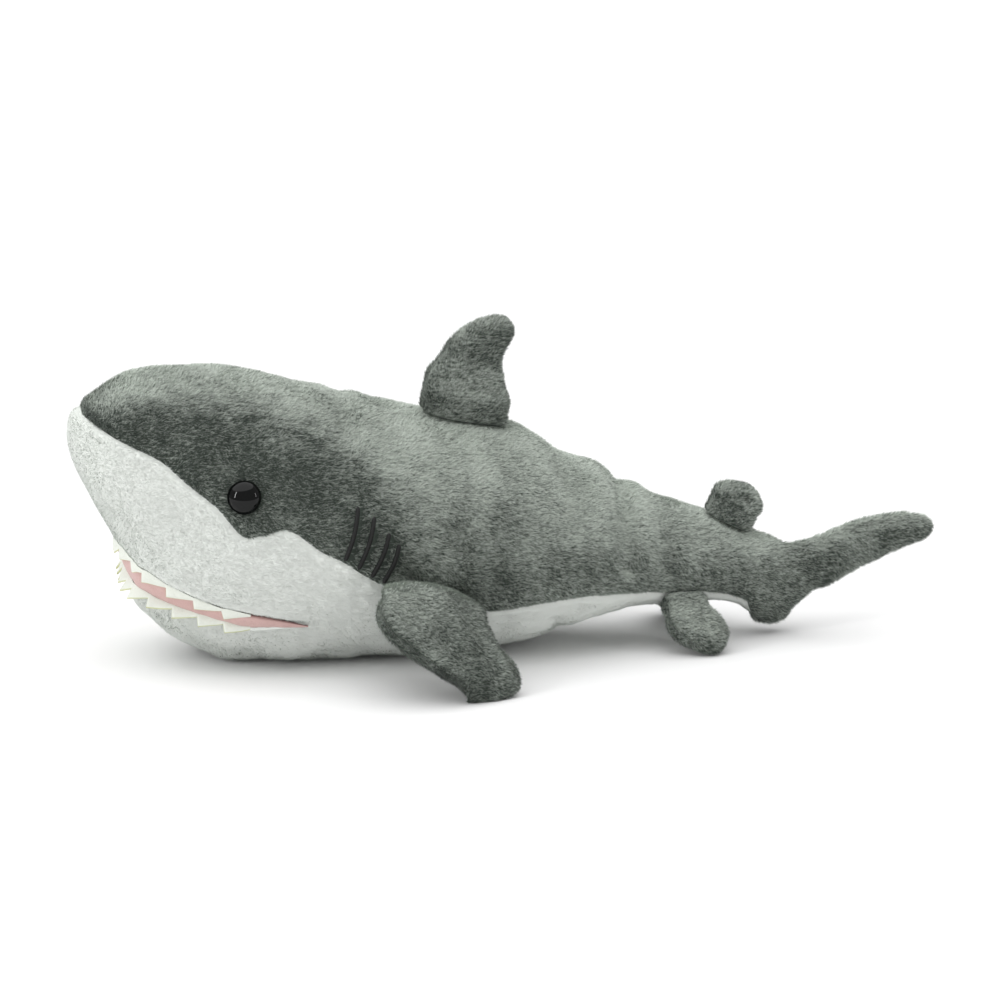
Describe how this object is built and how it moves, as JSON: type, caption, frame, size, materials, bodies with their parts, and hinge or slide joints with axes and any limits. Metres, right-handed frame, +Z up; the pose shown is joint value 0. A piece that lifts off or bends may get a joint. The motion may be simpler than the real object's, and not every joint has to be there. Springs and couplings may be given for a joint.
{
  "type": "plush shark",
  "caption": "Stuffed toy shark with a grey back and white underside, felt teeth, domed eyes, stitched gills and fins and a tail that bend at their seams.",
  "frame": {"origin": "on the ground under the middle of the toy's length, on its mirror plane", "axes": "+X towards the tail, -Y is the toy's left side, +Z up"},
  "size_m": [0.4439, 0.2296, 0.1735],
  "materials": {
    "grey_plush": "short soft pile",
    "white_plush": "short soft pile",
    "pink_cloth": "smooth brushed cloth",
    "cream_felt": "thick felt",
    "black_plastic": "high gloss",
    "washer_plastic": "plain moulded",
    "black_thread": "satin stitched thread",
    "stuffing": "loose polyester fibre"
  },
  "bodies": {
    "trunk": {"belly_panel": "white_plush", "eye_left": "black_plastic", "eye_right": "black_plastic", "eye_washer_left": "washer_plastic", "eye_washer_right": "washer_plastic", "face_panel": "white_plush", "gill_left_1": "black_thread", "gill_left_2": "black_thread", "gill_left_3": "black_thread", "gill_left_4": "black_thread", "gill_right_1": "black_thread", "gill_right_2": "black_thread", "gill_right_3": "black_thread", "gill_right_4": "black_thread", "lower_teeth": "cream_felt", "mouth_panel": "pink_cloth", "side_panel_left": "grey_plush", "side_panel_right": "grey_plush", "trunk_filling": "stuffing", "upper_teeth": "cream_felt"},
    "tail": {"tail_belly_panel": "white_plush", "tail_filling": "stuffing", "tail_panel_left": "grey_plush", "tail_panel_right": "grey_plush"},
    "tail_fin": {"tail_fin_filling": "stuffing", "tail_fin_panel_left": "grey_plush", "tail_fin_panel_right": "grey_plush"},
    "dorsal_fin": {"dorsal_fin_filling": "stuffing", "dorsal_fin_left_panel": "grey_plush", "dorsal_fin_right_panel": "grey_plush"},
    "second_dorsal_fin": {"second_dorsal_fin_filling": "stuffing", "second_dorsal_fin_left_panel": "grey_plush", "second_dorsal_fin_right_panel": "grey_plush"},
    "pectoral_fin_left": {"pectoral_fin_left_filling": "stuffing", "pectoral_fin_left_top_panel": "grey_plush", "pectoral_fin_left_underside_panel": "grey_plush"},
    "pectoral_fin_right": {"pectoral_fin_right_filling": "stuffing", "pectoral_fin_right_top_panel": "grey_plush", "pectoral_fin_right_underside_panel": "grey_plush"},
    "pelvic_fin_left": {"pelvic_fin_left_filling": "stuffing", "pelvic_fin_left_top_panel": "grey_plush", "pelvic_fin_left_underside_panel": "grey_plush"},
    "pelvic_fin_right": {"pelvic_fin_right_filling": "stuffing", "pelvic_fin_right_top_panel": "grey_plush", "pelvic_fin_right_underside_panel": "grey_plush"}
  },
  "joints": [
    {"name": "tail_bend", "type": "hinge", "parent": "trunk", "child": "tail", "pos_m": [0.07992, 0, 0], "axis": [0, 0, 1], "range_deg": [-35, 35], "stiffness_Nm_per_rad": 0.15},
    {"name": "tail_fin_bend", "type": "hinge", "parent": "tail", "child": "tail_fin", "pos_m": [0.15318, 0, 0], "axis": [0, 0, 1], "range_deg": [-35, 35], "stiffness_Nm_per_rad": 0.04},
    {"name": "dorsal_fin_lean", "type": "hinge", "parent": "trunk", "child": "dorsal_fin", "pos_m": [-0.02029, 0, 0.13055], "axis": [0.9819, 0, -0.1893], "range_deg": [-40, 40], "stiffness_Nm_per_rad": 0.025},
    {"name": "second_dorsal_fin_lean", "type": "hinge", "parent": "tail", "child": "second_dorsal_fin", "pos_m": [0.119, 0, 0.06681], "axis": [0.8958, 0, -0.4445], "range_deg": [-35, 35], "stiffness_Nm_per_rad": 0.012},
    {"name": "pectoral_fin_left_flap", "type": "hinge", "parent": "trunk", "child": "pectoral_fin_left", "pos_m": [-0.04445, -0.07551, 0.03928], "axis": [-0.9447, -0.1315, 0.3003], "range_deg": [-20, 55], "stiffness_Nm_per_rad": 0.03},
    {"name": "pectoral_fin_right_flap", "type": "hinge", "parent": "trunk", "child": "pectoral_fin_right", "pos_m": [-0.04445, 0.07551, 0.03928], "axis": [0.9447, -0.1315, -0.3003], "range_deg": [-20, 55], "stiffness_Nm_per_rad": 0.03},
    {"name": "pelvic_fin_left_flap", "type": "hinge", "parent": "tail", "child": "pelvic_fin_left", "pos_m": [0.08915, -0.02692, 0.0197], "axis": [-0.9431, -0.3204, 0.0887], "range_deg": [-15, 45], "stiffness_Nm_per_rad": 0.012},
    {"name": "pelvic_fin_right_flap", "type": "hinge", "parent": "tail", "child": "pelvic_fin_right", "pos_m": [0.08915, 0.02692, 0.0197], "axis": [0.9431, -0.3204, -0.0887], "range_deg": [-15, 45], "stiffness_Nm_per_rad": 0.012}
  ]
}
